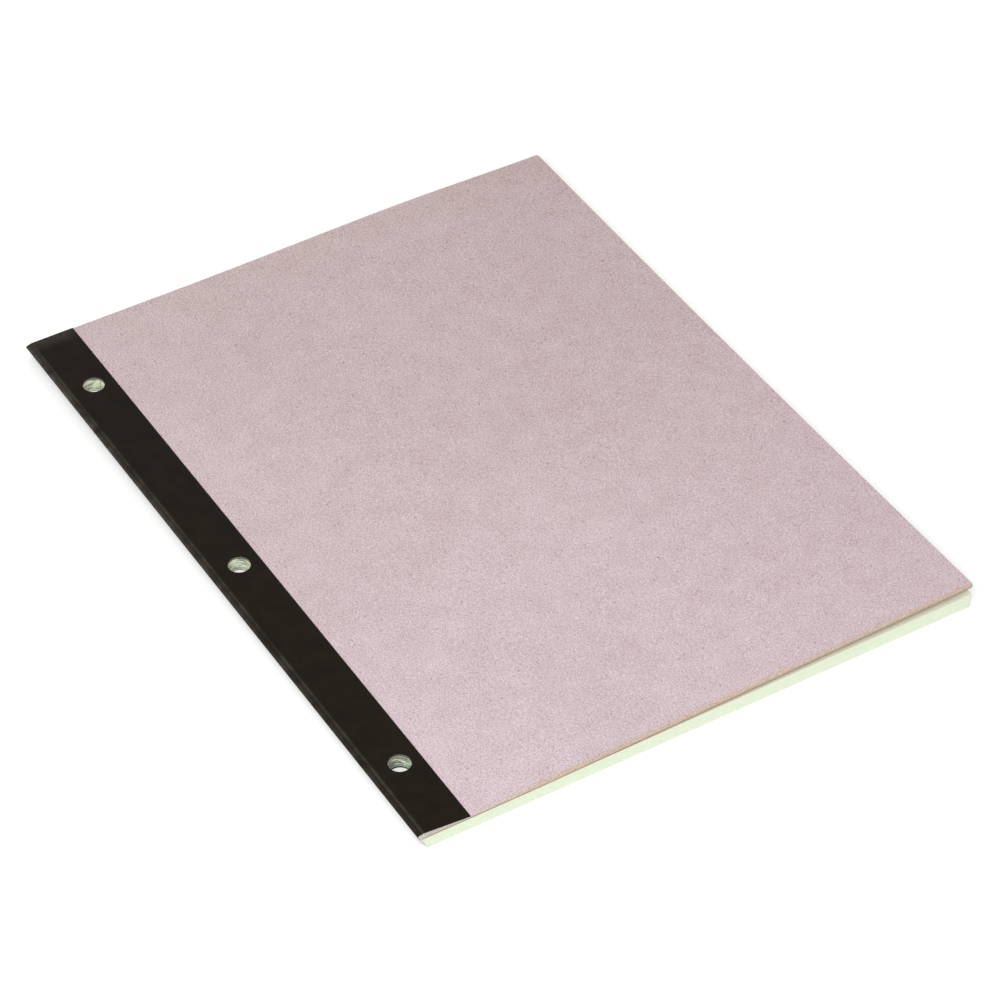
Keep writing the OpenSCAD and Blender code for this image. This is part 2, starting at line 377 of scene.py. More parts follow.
# The tape's grey is partly rubbed coating, partly a painted highlight along the ridge.
wear = add(tree, ATTRIBUTE, attribute_name="wear")["Fac"]
patchy = add(tree, RANGE, {"Value": rubs, "From Min": 0.3, "From Max": 0.75, "To Min": 0.1})["Result"]
worn = add(tree, MATH, {0: wear, 1: patchy}, operation="MULTIPLY")[0]
coat = add(tree, MIX, {"Factor": worn, FIRST: black, SECOND: linear("#6B665F")}, data_type="RGBA")[MIXED]
satin = add(tree, RANGE, {**SPREAD, "Value": grain, "To Min": 0.42, "To Max": 0.58})["Result"]
cloth = add(tree, "ShaderNodeBump", {"Height": grain, "Strength": 0.2, "Distance": GRAIN_RELIEF})["Normal"]
feed(tree, shader, {"Base Color": coat, "Normal": cloth, "Roughness": satin, "Specular IOR Level": 0.07})
print(f"tape: grain {GRAIN_MM} mm, rubbed patches {RUB_MM} mm")

# %% [markdown]
# ## Ledger paper
# Ledger paper is uncoated and tinted pale green, which is easier on the eyes than white. The front of each
# sheet is ruled: green lines for the rows, brown lines for the columns, and finer brown lines that give each
# digit its place. The headings are left bare. A sheet's own tint comes from its geometry tree, and the foot
# of the top sheet is painted cream, a painted warm light that lifts the shade under the sprung cover. The
# tooth of the paper is drawn coarser than it is, so that it shows.

# %% Ledger paper: the stock
TOOTH_MM, WARM_LIGHT_MM, WARM_LIGHT_SHEETS = 0.5, 14, 2
PAINTED_WARM_LIGHT = linear("#F4F0DA")
KEPT = ("tint", "share", "side")    # a sheet's tint, its place in the pile, and the side of each face
ledger_paper, tree, shader = finish("ruled_ledger_paper")
place = add(tree, "ShaderNodeUVMap", uv_map="flat")["UV"]
spot = add(tree, VECTOR, {0: place, "Scale": 1 / MM}, operation="SCALE")[0]
along = add(tree, "ShaderNodeSeparateXYZ", {0: spot})
tooth = add(tree, NOISE, {"Vector": spot, "Scale": 1 / TOOTH_MM, "Detail": 2})["Fac"]
tint, share, side = (add(tree, ATTRIBUTE, attribute_name=name)["Fac"] for name in KEPT)
stock = add(tree, MIX, {"Factor": tint, FIRST: linear("#E3ECD7"), SECOND: linear("#EAF1DF")},
            data_type="RGBA")[MIXED]
# The cream is painted warm light in the shade under the sprung cover.
warm_lit = add(tree, RANGE, {"Value": share, "From Min": 1 - WARM_LIGHT_SHEETS / len(sheet_nodes)})["Result"]
foot = add(tree, RANGE, {"Value": along["Y"], "From Min": WARM_LIGHT_MM, "From Max": 0})["Result"]
turned = add(tree, MATH, {0: warm_lit, 1: foot}, operation="MULTIPLY")[0]
stock = add(tree, MIX, {"Factor": turned, FIRST: stock, SECOND: PAINTED_WARM_LIGHT}, data_type="RGBA")[MIXED]
print(f"ledger paper: cream on the first {WARM_LIGHT_MM} mm from the foot")

# %% [markdown]
# A ruling machine draws each set of lines with one comb of pens. A ruling is a distance to the nearest line,
# so a ping-pong of the UV map draws a set at its true spacing, and two bands cut it off where it begins and
# ends. A picture of the sheet would blur up close.

# %% Ledger paper: the ruled face
RULES = [  # axis, first and last place, spacing, line width, where the lines begin and end, colour; all in mm
    (1, 8.0, 248.0, 6.35, 0.22, 5, 211, "#A9CBA4"),
    (0, 92.0, 208.0, 3.25, 0.16, 8, 250, "#CBBF9C"),
    (0, 92.0, 209.0, 26.0, 0.40, 6, 262, "#A98A63"),
    (0, 24.0, 34.5, 10.0, 0.40, 6, 262, "#A98A63"),
    (1, 249.6, 250.2, 20.0, 0.45, 5, 211, "#A98A63"),
    (1, 262.0, 262.6, 20.0, 0.35, 5, 211, "#A98A63"),
]
TOOTH_RELIEF = 0.02 * MM
front = add(tree, MATH, {0: side, 1: FRONT + 0.5}, operation="LESS_THAN")[0]
ruled = stock
for axis, first, last, spacing, width, begin, end, colour in RULES:
    past = add(tree, MATH, {0: along[axis], 1: first}, operation="SUBTRACT")[0]
    away = add(tree, MATH, {0: past, 1: spacing / 2}, operation="PINGPONG")[0]
    line = add(tree, MATH, {0: away, 1: width / 2}, operation="LESS_THAN")[0]
    within = front
    for where, low, high in ((past, -width, last - first + width), (along[1 - axis], begin, end)):
        middle, half = (low + high) / 2, (high - low) / 2
        inside = add(tree, MATH, {0: where, 1: middle, 2: half}, operation="COMPARE")[0]
        within = add(tree, MATH, {0: within, 1: inside}, operation="MULTIPLY")[0]
    drawn = add(tree, MATH, {0: line, 1: within}, operation="MULTIPLY")[0]
    ruled = add(tree, MIX, {"Factor": drawn, FIRST: ruled, SECOND: linear(colour)}, data_type="RGBA")[MIXED]
toothed = add(tree, "ShaderNodeBump", {"Height": tooth, "Strength": 0.15, "Distance": TOOTH_RELIEF})["Normal"]
feed(tree, shader, {"Base Color": ruled, "Normal": toothed, "Roughness": 0.85, "Specular IOR Level": 0.25})
print(f"ruled face: {len(RULES)} sets of rules")

# %% [markdown]
# A trimmed pile catches the light, a shade paler than the face, with a streak where a sheet stands proud. It
# is painted darker towards the spine and lighter towards the fore edge, painted shade and light that even out
# the lamp's fall-off. The edges of the top sheets are painted cream, a painted warm light in the shade under
# the sprung cover. The pile is made of real sheets, so the shader only has to colour them: each sheet's tint
# and its place in the pile come with it as attributes.

# %% Ledger paper: the trimmed edge
FLUFF_MM = 2.5
HANDLED, CLEAN, WARM_LIGHT_SHARE = 0.93, 1.07, 0.8
paper_edge, tree, shader = finish("trimmed_ledger_paper")
place = add(tree, "ShaderNodeUVMap", uv_map="flat")["UV"]
flat = add(tree, "ShaderNodeSeparateXYZ", {0: place})
fluff = add(tree, NOISE, {"Vector": place, "Scale": 1 / (FLUFF_MM * MM), "Detail": 2})["Fac"]
tint, share, side = (add(tree, ATTRIBUTE, attribute_name=name)["Fac"] for name in KEPT)
uneven = add(tree, MATH, {0: fluff, 1: tint}, operation="ADD")[0]
stock = add(tree, MIX, {"Factor": uneven, FIRST: linear("#DDE8CF"), SECOND: linear("#ECF4DF")},
            data_type="RGBA")[MIXED]
# The cream on the top sheets' edges is painted warm light in the shade under the sprung cover.
warm_lit = add(tree, RANGE, {"Value": share, "From Min": WARM_LIGHT_SHARE})["Result"]
stock = add(tree, MIX, {"Factor": warm_lit, FIRST: stock, SECOND: PAINTED_WARM_LIGHT}, data_type="RGBA")[MIXED]
# The edge is painted darker at the spine and lighter at the fore edge: painted shade and light against the
# lamp's fall-off.
painted_light_across = add(tree, RANGE, {"Value": flat["X"], "From Max": SHEET_W,
                          "To Min": HANDLED, "To Max": CLEAN})["Result"]
edge = add(tree, VECTOR, {0: stock, "Scale": painted_light_across}, operation="SCALE")[0]
print(f"trimmed edge: from {HANDLED:.0%} at the spine to {CLEAN:.0%} at the fore edge")

# %% [markdown]
# Inside the holes the wall is painted in dark and light arcs round it, painted shade and light of bundles of
# sheets that lie at different depths, and the hole at the foot is painted darkest, a painted shade. Noise in
# the space of the flat sheet and the height of the pile draws the arcs, because that space stays put when the
# leaves bend and turn.

# %% Ledger paper: the drilled holes
ARC_MM = (3.0, 3.0, 0.9)
ARC_SPREAD = {"From Min": 0.4, "From Max": 0.6}    # narrower, so that the arcs have hard edges
HOLE_SHADE_FOOT, HOLE_SHADE_HEAD = -0.10, 0.09
height = add(tree, MATH, {0: share, 1: len(sheet_nodes) * SHEET_T}, operation="MULTIPLY")[0]
wall = add(tree, "ShaderNodeCombineXYZ", {"X": flat["X"], "Y": flat["Y"], "Z": height})[0]
bundles = add(tree, "ShaderNodeMapping", {"Vector": wall, "Scale": [1 / (size * MM) for size in ARC_MM]})[0]
arcs = add(tree, NOISE, {"Vector": bundles, "Scale": 1, "Detail": 1})["Fac"]
# The holes are painted darker towards the foot: painted shade.
hole_shade = add(tree, RANGE, {"Value": flat["Y"], "From Min": HOLE_VS[0], "From Max": HOLE_VS[1],
                         "To Min": HOLE_SHADE_FOOT, "To Max": HOLE_SHADE_HEAD})["Result"]
shaded_arcs = add(tree, MATH, {0: arcs, 1: hole_shade}, operation="ADD")[0]
# The dark arcs are painted shade and the light arcs painted light.
torn = add(tree, RANGE, {**ARC_SPREAD, "Value": shaded_arcs})["Result"]
drilled = add(tree, MIX, {"Factor": torn, FIRST: linear("#484C3C"), SECOND: linear("#ECEFDA")},
              data_type="RGBA")[MIXED]
in_hole = add(tree, MATH, {0: side, 1: HOLE - 0.5}, operation="GREATER_THAN")[0]
edge = add(tree, MIX, {"Factor": in_hole, FIRST: edge, SECOND: drilled}, data_type="RGBA")[MIXED]
feed(tree, shader, {"Base Color": edge, "Roughness": 0.9, "Specular IOR Level": 0.2})
print(f"drilled holes: arcs about {ARC_MM[2]} mm high")

# %% [markdown]
# ## Padding glue
# Padding glue is brushed on the clamped edges of the sheets and dries to a rubbery ivory film. It hides under
# the tape and shows only at the foot, where the tape stops short, so the CAD solid keeps its shape and gets
# a finish of uneven, slightly glossy brush strokes along the spine.

# %% Padding glue: a dry film on the CAD node
BRUSH_MM, BRUSH_RELIEF = (0.5, 9.0, 0.5), 0.05 * MM
padding_glue, tree, shader = finish("dry_padding_glue")
place = add(tree, "ShaderNodeTexCoord")["Object"]
brushed = add(tree, "ShaderNodeMapping",
              {"Vector": place, "Scale": [1 / (size * MM) for size in BRUSH_MM]})[0]
strokes = add(tree, NOISE, {"Vector": brushed, "Scale": 1, "Detail": 3})["Fac"]
film = add(tree, MIX, {"Factor": strokes, FIRST: linear("#DAD3BE"), SECOND: linear("#F0EBDC")},
           data_type="RGBA")[MIXED]
ridged = add(tree, "ShaderNodeBump", {"Height": strokes, "Strength": 0.3, "Distance": BRUSH_RELIEF})["Normal"]
feed(tree, shader, {"Base Color": film, "Normal": ridged, "Roughness": 0.45})
glue = frame["nodes"]["spine_glue"]
glue.data.materials.clear()
glue.data.materials.append(padding_glue)
print("glue finish on", glue.name)

# %% [markdown]
# ## Punched plates
# The cover, the tape and the sheets are all thin plates with round holes, so one function makes them. A grid
# of quads is laid out flat, the cells round a hole are swapped for rings that go from a square to a circle,
# and the plate gets a back and walls. A boolean cut would leave long thin triangles that shade badly.
# Each piece brings its own rule for where a flat point goes in space.

# %% Flat grid with round holes
HOLE_REACH = 6 * MM
RING_SHARES = (0.5, 1.0)
RING_START = -3 * math.pi / 4    # a ring starts at the square's corner nearest the spine and the foot


def grid_lines(*stops):
    """Grid lines through the stops. Between two stops stands the number of steps from one to the next."""
    runs = [np.linspace(stops[i], stops[i + 2], stops[i + 1] + 1)[:-1] for i in range(0, len(stops) - 2, 2)]
    return np.concatenate(runs + [[stops[-1]]])


def punched_grid(us, vs, holes):
    """Points and faces of a flat grid with holes, its outline anticlockwise and its holes clockwise."""
    points = [(u, v) for v in vs for u in us]
    number = np.arange(len(points)).reshape(len(vs), len(us))
    faces, loops, cut = [], [], np.zeros((len(vs) - 1, len(us) - 1), bool)
    last_j, last_i = len(vs) - 1, len(us) - 1

    def border(i0, i1, j0, j1):
        sides = number[j0, i0:i1], number[j0:j1, i1], number[j1, i1:i0:-1], number[j1:j0:-1, i0]
        return [int(p) for p in np.concatenate(sides)]

    outline = border(0, last_i, 0, last_j)
    for hole_u, hole_v in holes:
        i0, i1 = (int(np.abs(us - hole_u - s * HOLE_REACH).argmin()) for s in (-1, 1))
        j0, j1 = (int(np.abs(vs - hole_v - s * HOLE_REACH).argmin()) for s in (-1, 1))
        cut[j0:j1, i0:i1] = True
        square = border(i0, i1, j0, j1)
        outer = square
        for share in RING_SHARES:
            ring = []
            for k, corner in enumerate(square):
                turn = 2 * math.pi * k / len(square) + RING_START
                circle = (hole_u + HOLE_R * math.cos(turn), hole_v + HOLE_R * math.sin(turn))
                ring.append(len(points))
                points.append(tuple((1 - share) * points[corner][n] + share * circle[n] for n in (0, 1)))
            after = ring[1:] + ring[:1]
            faces += zip(outer, outer[1:] + outer[:1], after, ring)
            outer = ring
        loops.append(outer[::-1])
    faces += [tuple(border(i, i + 1, j, j + 1))
              for j in range(last_j) for i in range(last_i) if not cut[j, i]]
    used = sorted({p for f in faces for p in f})
    new = {p: k for k, p in enumerate(used)}
    return (np.array([points[p] for p in used]), [tuple(new[p] for p in f) for f in faces],
            [[new[p] for p in loop] for loop in [outline] + loops])


print(f"rings reach {HOLE_REACH / MM:.0f} mm from a hole's centre")

# %% Plate with a thickness
SHARP = math.radians(35)


def plate(name, us, vs, holes, thickness, place):
    """A closed mesh. place(u, v, depth) puts a flat point in space, and depth counts down from the front.
    Faces know their side. Points on a hole's rim know which way is outwards."""
    flat, faces, loops = punched_grid(us, vs, holes)
    count = len(flat)
    verts = [place(u, v, depth) for depth in (0, thickness) for u, v in flat]
    walls = [[(a, count + a, count + b, b) for a, b in zip(loop, loop[1:] + loop[:1])] for loop in loops]
    backs = [tuple(count + p for p in reversed(face)) for face in faces]
    rims, hole_walls = walls[0], [quad for wall in walls[1:] for quad in wall]
    mesh = bpy.data.meshes.new(name)
    mesh.from_pydata(verts, [], faces + backs + rims + hole_walls, shade_flat=False)
    mesh.set_sharp_from_angle(angle=SHARP)
    corners = np.empty(len(mesh.loops), int)
    mesh.loops.foreach_get("vertex_index", corners)
    mesh.uv_layers.new(name="flat").data.foreach_set("uv", flat[corners % count].astype(np.float32).ravel())
    sides = [FRONT] * len(faces) + [BACK] * len(backs) + [OUTLINE] * len(rims) + [HOLE] * len(hole_walls)
    mesh.attributes.new("side", "FLOAT", "FACE").data.foreach_set("value", [float(side) for side in sides])
    mesh.polygons.foreach_set("material_index", [int(side > BACK) for side in sides])
    mesh.attributes.new("depth", "FLOAT", "POINT").data.foreach_set("value", [0.0] * count + [1.0] * count)
    outward = np.zeros((2 * count, 3), np.float32)
    for loop in loops[1:]:
        ring = flat[loop] - flat[loop].mean(0)
        for back in (0, count):
            outward[[back + p for p in loop], :2] = ring / np.linalg.norm(ring, axis=1)[:, None]
    mesh.attributes.new("outward", "FLOAT_VECTOR", "POINT").data.foreach_set("vector", outward.ravel())
    return mesh


print(f"plates have {len(HOLE_VS)} holes of {2 * HOLE_R / MM:.1f} mm")

# %% [markdown]
# Three more rules are shared by the pieces: where the grid lines run along the pad, how a value eases in and
# out, and how a fore corner is rounded. Moving the grid's own points round the corner keeps it all quads,
# where a cut would not.

# %% Rules shared by the pieces
def hole_stops(steps, *runs):
    """Grid lines along the pad: runs of steps between the foot, the three holes and the head."""
    stops = [0, runs[0]]
    for hole, run in zip(HOLE_VS, runs[1:]):
        stops += [hole - HOLE_REACH, steps, hole + HOLE_REACH, run]
    return grid_lines(*stops, SHEET_L)


def joined(*lines):
    """Several sets of grid lines as one, in order and without doubles."""
    return np.unique(np.concatenate(lines).round(9))


def smooth(x):
    """Rises gently from 0 at x = 0 to 1 at x = 1."""
    x = min(max(x, 0.0), 1.0)
    return x * x * (3 - 2 * x)


def rounded(u, v, width, radius):
    """A flat point moved so that the plate's two fore corners are rounded off."""
    past_u, past_v = (u - width) / radius + 1, max(-v, v - SHEET_L) / radius + 1
    if past_u > 0 and past_v > 0:
        inset = radius - past_v * math.sqrt(1 - past_u ** 2 / 2) * radius
        u = width - radius + past_u * math.sqrt(1 - past_v ** 2 / 2) * radius
        v = inset if v < SHEET_L / 2 else SHEET_L - inset
    return u, v


def with_corners(vs, radius, steps):
    """Grid lines along the pad, with fine steps added for the rounded corners at both ends."""
    fine = np.linspace(0, radius, steps + 1)
    return joined(vs, fine, SHEET_L - fine)


print("holes at", [round(v / MM, 2) for v in HOLE_VS], "mm from the foot")

# %% [markdown]
# ## Cover
# Chipboard takes up damp unevenly and springs: the fore corner at the foot has lifted and the head edge bows
# a little. Both shapes follow a simple rule, so the cover is a plate whose height is a function. A cloth
# simulation would crease it, and sculpting would not repeat. The tape holds the strip beside the spine down.

# %% Height of the sprung cover
FLAT_SHARE, SOFT_START, FOOT_POWER, FOOT_BELLY = 0.20, 0.08, 1.15, 0.06
HEAD_BOW, BOW_START, BOW_PEAK, BOW_LEFT = 1.3 * MM, 0.28, 0.72, 0.18
TAPE_W = tape_high[0] - COVER_X


def cover_height(u, v):
    """Gap between the top sheet and the cover, u from the cover's spine edge and v from the foot."""
    across, ahead_of_foot = u / COVER_W, v / SHEET_L
    start = (across - FLAT_SHARE) / (1 - FLAT_SHARE)
    ramp = (start + math.hypot(start, SOFT_START)) / (1 + math.hypot(1, SOFT_START))
    foot = LIFT * (ramp ** FOOT_POWER + FOOT_BELLY * ramp * math.sin(math.pi * ramp))
    rise = smooth((across - BOW_START) / (BOW_PEAK - BOW_START))
    fall = 1 - (1 - BOW_LEFT) * smooth((across - BOW_PEAK) / (1 - BOW_PEAK))
    free = smooth((u - TAPE_W) / (FLAT_SHARE * COVER_W))
    return free * (foot * (1 - ahead_of_foot) ** 2 + HEAD_BOW * rise * fall * ahead_of_foot ** 3)


for share in (0.3, 0.5, 0.7, 0.9, 1.0):
    print(f"gap at {share:.0%} of the width: foot {cover_height(share * COVER_W, 0) / MM:.2f} mm, "
          f"head {cover_height(share * COVER_W, SHEET_L) / MM:.2f} mm")

# %% Cover board
CORNER_R, CORNER_STEPS, HOLE_STEPS = 1.2 * MM, 4, 12
NICK, NICKED_OVER = 0.06 * MM, math.radians(50)
PRESSED_W, PRESSED_DROP = 1.9 * MM, 0.65 * MM


def cover_point(u, v, depth):
    """A point of the board, its fore corners rounded and the strip along its spine pressed down."""
    u, v = rounded(u, v, COVER_W, CORNER_R)
    pressed = PRESSED_DROP * max(0, 1 - u / PRESSED_W) * (1 - depth / BOARD_T)
    return COVER_X + u, FOOT_Y + v, CREASE_Z + cover_height(u, v) + BOARD_T - depth - pressed


board_hole_u = HOLE_X - COVER_X
cover_us = grid_lines(0, 2, PRESSED_W, 2, board_hole_u - HOLE_REACH, HOLE_STEPS, board_hole_u + HOLE_REACH,
                      44, COVER_W - CORNER_R, CORNER_STEPS, COVER_W)
cover_vs = with_corners(hole_stops(HOLE_STEPS, 8, 20, 20, 8), CORNER_R, CORNER_STEPS)
cover_holes = [(board_hole_u, v) for v in HOLE_VS]
cover = bpy.data.objects.new("cover_chipboard", plate("cover_chipboard", cover_us, cover_vs, cover_holes,
                                                      BOARD_T, cover_point))
scene.collection.objects.link(cover)
cover.data.materials.append(chipboard)
cover.data.materials.append(cut_board)
worn_edge = cover.modifiers.new("worn edge", "BEVEL")
worn_edge.width, worn_edge.segments = NICK, 2
worn_edge.limit_method, worn_edge.angle_limit = "ANGLE", NICKED_OVER
finished = bpy.data.meshes.new_from_object(cover.evaluated_get(bpy.context.evaluated_depsgraph_get()))
cover.modifiers.clear()
cover.data = finished
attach(cover, "cover")
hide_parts("cover_board")
print(f"cover: {len(finished.polygons)} faces")

# %% [markdown]
# ## Binding tape
# The tape is one strip: from under the last sheet, round the bottom fold, up the leaning spine, over the
# cover's pressed edge and its ridge, and onto its face. A curve with a profile could carry it, but not its
# holes, so it is a plate, laid out flat along u and bent by its path, and the grain runs on across the folds.

# %% Path of the tape
TAPE_SKIN = TAPE_T - 0.03 * MM
TAPE_TOP = tape_high[2]
CREASE_R, EDGE_R, RIDGE_R = 0.4 * MM, 0.28 * MM, 1.0 * MM
SLOPE = math.atan2(PRESSED_DROP, PRESSED_W)
RIDGE_X = COVER_X + PRESSED_W - TAPE_T * math.tan(SLOPE / 2)
EDGE_Z = TAPE_TOP - (RIDGE_X - TAPE_X) * math.tan(SLOPE)
under = SPINE_LEAN * CREASE_Z / (CREASE_Z - TAPE_T)
corners = [Vector(corner) for corner in (
    (back_high[0], 0), (TAPE_X + under, 0), (TAPE_X, CREASE_Z), (TAPE_X, EDGE_Z), (RIDGE_X, TAPE_TOP),
    (tape_high[0], TAPE_TOP))]
radii = [0, TAPE_T, CREASE_R, EDGE_R, RIDGE_R, 0]

# A leg: where it starts along u, its first point, its heading, and its bend, 0 where it is straight.
legs, u, here = [], 0.0, corners[0]
for k in range(1, len(corners)):
    heading = (corners[k] - corners[k - 1]).normalized()
    turn = heading.angle(corners[k + 1] - corners[k]) if k + 1 < len(corners) else 0
    run = (corners[k] - here).length - radii[k] * math.tan(turn / 2)
    legs.append((u, here, heading, 0))
    u, here = u + run, here + heading * run
    if turn:
        legs.append((u, here, heading, radii[k]))
        leaving = (corners[k + 1] - corners[k]).normalized()
        u, here = u + radii[k] * turn, corners[k] + leaving * radii[k] * math.tan(turn / 2)
U_END = u
U_FOLD, U_SPINE, U_CREASE, U_RISE, U_EDGE, U_SLOPE, U_RIDGE, U_FRONT = (leg[0] for leg in legs[1:])
print(f"tape: {U_END / MM:.1f} mm wide, {TAPE_SKIN / MM:.2f} mm thick, {len(legs)} legs")

# %% [markdown]
# The strip's foot end was torn at a slant, and the grid is finest in the narrow band at the crease.

# %% Binding tape strip
SLANT, SLANT_RUN = back_low[1] - FOOT_Y, 8 * MM
CREASE_BAND, FINE_RUN = 0.35 * MM, 0.45 * MM
RUB_END_RUN, END_STEPS = 7 * MM, 5
NUDGE = 1e-9    # a point on the joint of two legs belongs to the second


def tape_point(u, v, depth):
    """A point of the strip, u along its width from the edge under the pad and v along the spine."""
    start, point, heading, bend = [leg for leg in legs if leg[0] <= u + NUDGE][-1]
    inward = Vector((heading.y, -heading.x))
    if bend:
        turn = (u - start) / bend
        out = heading * math.sin(turn) - inward * math.cos(turn)
        x, z = point + inward * bend + out * (bend - depth)
    else:
        x, z = point + heading * (u - start) + inward * depth
    slant = SLANT * min(1, (tape_high[0] - x) / (tape_high[0] - TAPE_X)) if u > U_EDGE else SLANT
    return x, FOOT_Y + v + slant * max(0, 1 - v / SLANT_RUN), z


hole_back, hole_front = back_high[0] - HOLE_X, U_END - tape_high[0] + HOLE_X
tape_us = grid_lines(0, 2, hole_back - HOLE_REACH, HOLE_STEPS, hole_back + HOLE_REACH, 4, U_FOLD, 5, U_SPINE,
                     6, U_CREASE - FINE_RUN, 6, U_CREASE, 3, U_RISE, 1, U_EDGE, 4, U_SLOPE, 4, U_RIDGE,
                     3, U_FRONT, 5, hole_front - HOLE_REACH, HOLE_STEPS, hole_front + HOLE_REACH, 2, U_END)
tape_vs = joined(hole_stops(HOLE_STEPS, 2, 8, 8, 4), np.linspace(0, SLANT_RUN, END_STEPS),
                 np.linspace(SHEET_L - RUB_END_RUN, SHEET_L, END_STEPS))
tape_holes = [(u, v) for u in (hole_back, hole_front) for v in HOLE_VS]
tape = bpy.data.objects.new("binding_tape", plate("binding_tape", tape_us, tape_vs, tape_holes, TAPE_SKIN,
                                                  tape_point))
scene.collection.objects.link(tape)
tape.data.materials.append(tape_coating)
tape.data.polygons.foreach_set("material_index", [0] * len(tape.data.polygons))
print(f"tape: {len(tape.data.polygons)} faces, foot end slants by {SLANT / MM:.1f} mm")

# %% [markdown]
# The ridge is painted a lighter grey, a painted highlight, and the strip outside it is painted greyer towards
# its edge and the head, partly rubbed coating and partly painted highlight. The grey is worked out once for
# each point and kept as an attribute, which bends with the strip.

# %% Wear and painted highlight of the tape, and its fold
RIDGE_HIGHLIGHT, RIDGE_HIGHLIGHT_HALF, RUB_FOOT, RUB_HEAD, RUB_END = 0.4, 0.55 * MM, 0.2, 0.75, 0.35


def rubbing_and_highlight(point):
    """How grey the coating is painted: evenly along the ridge, a painted highlight; on the strip outside it
    more towards its edge and the head, partly rubbed coating and partly painted highlight; and at the end at
    the head."""
    if point.z < CREASE_Z:
        return 0.0
    # The ridge's grey is a painted highlight.
    ridge = RIDGE_HIGHLIGHT * smooth(1 - abs(point.x - RIDGE_X) / RIDGE_HIGHLIGHT_HALF)
    outside = max(0, (RIDGE_X - point.x) / (RIDGE_X - TAPE_X))
    ahead_of_foot = point.y - FOOT_Y
    end = RUB_END * smooth(1 - (SHEET_L - ahead_of_foot) / RUB_END_RUN)
    return max(ridge, end, outside * (RUB_FOOT + (RUB_HEAD - RUB_FOOT) * ahead_of_foot / SHEET_L))


rub_and_highlight = [rubbing_and_highlight(point.co) for point in tape.data.vertices]
tape.data.attributes.new("wear", "FLOAT", "POINT").data.foreach_set("value", rub_and_highlight)
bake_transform(tape)
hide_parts("binding_tape_front", "binding_tape_spine", "binding_tape_back")
print(f"tape: most worn point {max(rub_and_highlight):.2f}, bends within {2 * CREASE_BAND / MM:.1f} mm")

# %% [markdown]
# ## Sheets
# Fifty sheets are one shape fifty times, so a Geometry Nodes tree piles them up from one template. Its inputs
# are named for the pad: how many sheets, how far apart, which one is first, and how far they stray. Each
# sheet gets a small shift of its own, so that the trimmed edges show fine steps instead of a flat wall.

# %% Geometry tree: a pile of sheets
pile = bpy.data.node_groups.new("sheet pile", "GeometryNodeTree")
INPUTS = {"Sheet": "Geometry", "Count": "Int", "Pitch": "Float", "First": "Int", "In the pad": "Int",
          "Shift": "Float", "Ragged": "Float", "Seed": "Int", "Face": "Material", "Edge": "Material"}
sockets = {}
for title, kind in INPUTS.items():
    made = pile.interface.new_socket(title, in_out="INPUT", socket_type=f"NodeSocket{kind}")
    sockets[title] = made.identifier
pile.interface.new_socket("Pile", in_out="OUTPUT", socket_type="NodeSocketGeometry")
given = add(pile, "NodeGroupInput")

down = add(pile, MATH, {0: given["Pitch"], 1: -1}, operation="MULTIPLY")[0]
step = add(pile, "ShaderNodeCombineXYZ", {"Z": down})[0]
column = add(pile, "GeometryNodeMeshLine", {"Count": given["Count"], "Offset": step}, mode="OFFSET")[0]
index = add(pile, "GeometryNodeInputIndex")[0]
order = add(pile, MATH, {0: index, 1: given["First"]}, operation="ADD")[0]
back = add(pile, MATH, {0: given["Shift"], 1: -1}, operation="MULTIPLY")[0]
low = add(pile, "ShaderNodeCombineXYZ", {"X": back, "Y": back})[0]
high = add(pile, "ShaderNodeCombineXYZ", {"X": given["Shift"], "Y": given["Shift"]})[0]
own = add(pile, "FunctionNodeRandomValue", {0: low, 1: high, "ID": order, "Seed": given["Seed"]},
          data_type="FLOAT_VECTOR")[0]
spots = add(pile, "GeometryNodeSetPosition", {"Geometry": column, "Offset": own})[0]
sheets = add(pile, "GeometryNodeInstanceOnPoints", {"Points": spots, "Instance": given["Sheet"]})[0]
print(f"sheet pile: {len(sockets)} inputs")

# %% [markdown]
# Each sheet keeps three numbers for later: its tint, its place in the pile from 0 at the bottom to 1 at the
# top, and its drag. The drill drags some sheets more than others, by a slow wave through the pile and a
# random part for each sheet, so the insides of the holes are ragged too.

# %% Geometry tree: what each sheet keeps
WAVE_TURN, TORN_SHARE = 0.62, 1.2
tint = add(pile, "FunctionNodeRandomValue", {"ID": order, "Seed": given["Seed"]}, data_type="FLOAT")[1]
depth = add(pile, MATH, {0: order, 1: given["In the pad"]}, operation="DIVIDE")[0]
share = add(pile, MATH, {0: 1, 1: depth}, operation="SUBTRACT")[0]
phase = add(pile, MATH, {0: order, 1: WAVE_TURN}, operation="MULTIPLY")[0]
wave = add(pile, MATH, {0: phase}, operation="SINE")[0]
torn = add(pile, MATH, {0: tint, 1: TORN_SHARE, 2: wave}, operation="MULTIPLY_ADD")[0]
drag = add(pile, MATH, {0: torn, 1: given["Ragged"]}, operation="MULTIPLY")[0]
numbers = {"tint": tint, "share": share, "drag": drag}
for title, value in numbers.items():
    sheets = add(pile, "GeometryNodeStoreNamedAttribute", {"Geometry": sheets, "Name": title, "Value": value},
                 data_type="FLOAT", domain="INSTANCE")[0]
real = add(pile, "GeometryNodeRealizeInstances", {"Geometry": sheets})[0]
print("each sheet keeps", ", ".join(numbers))

# %% [markdown]
# The template carries two moves: the top sheet rises into the gap under the sprung cover, and the last one
# sinks beside the tape and stops short at the leaning spine. Every point moves between where it is in the top
# sheet and where it is in the last one. The tree ends with the two materials, for the faces and the edges.

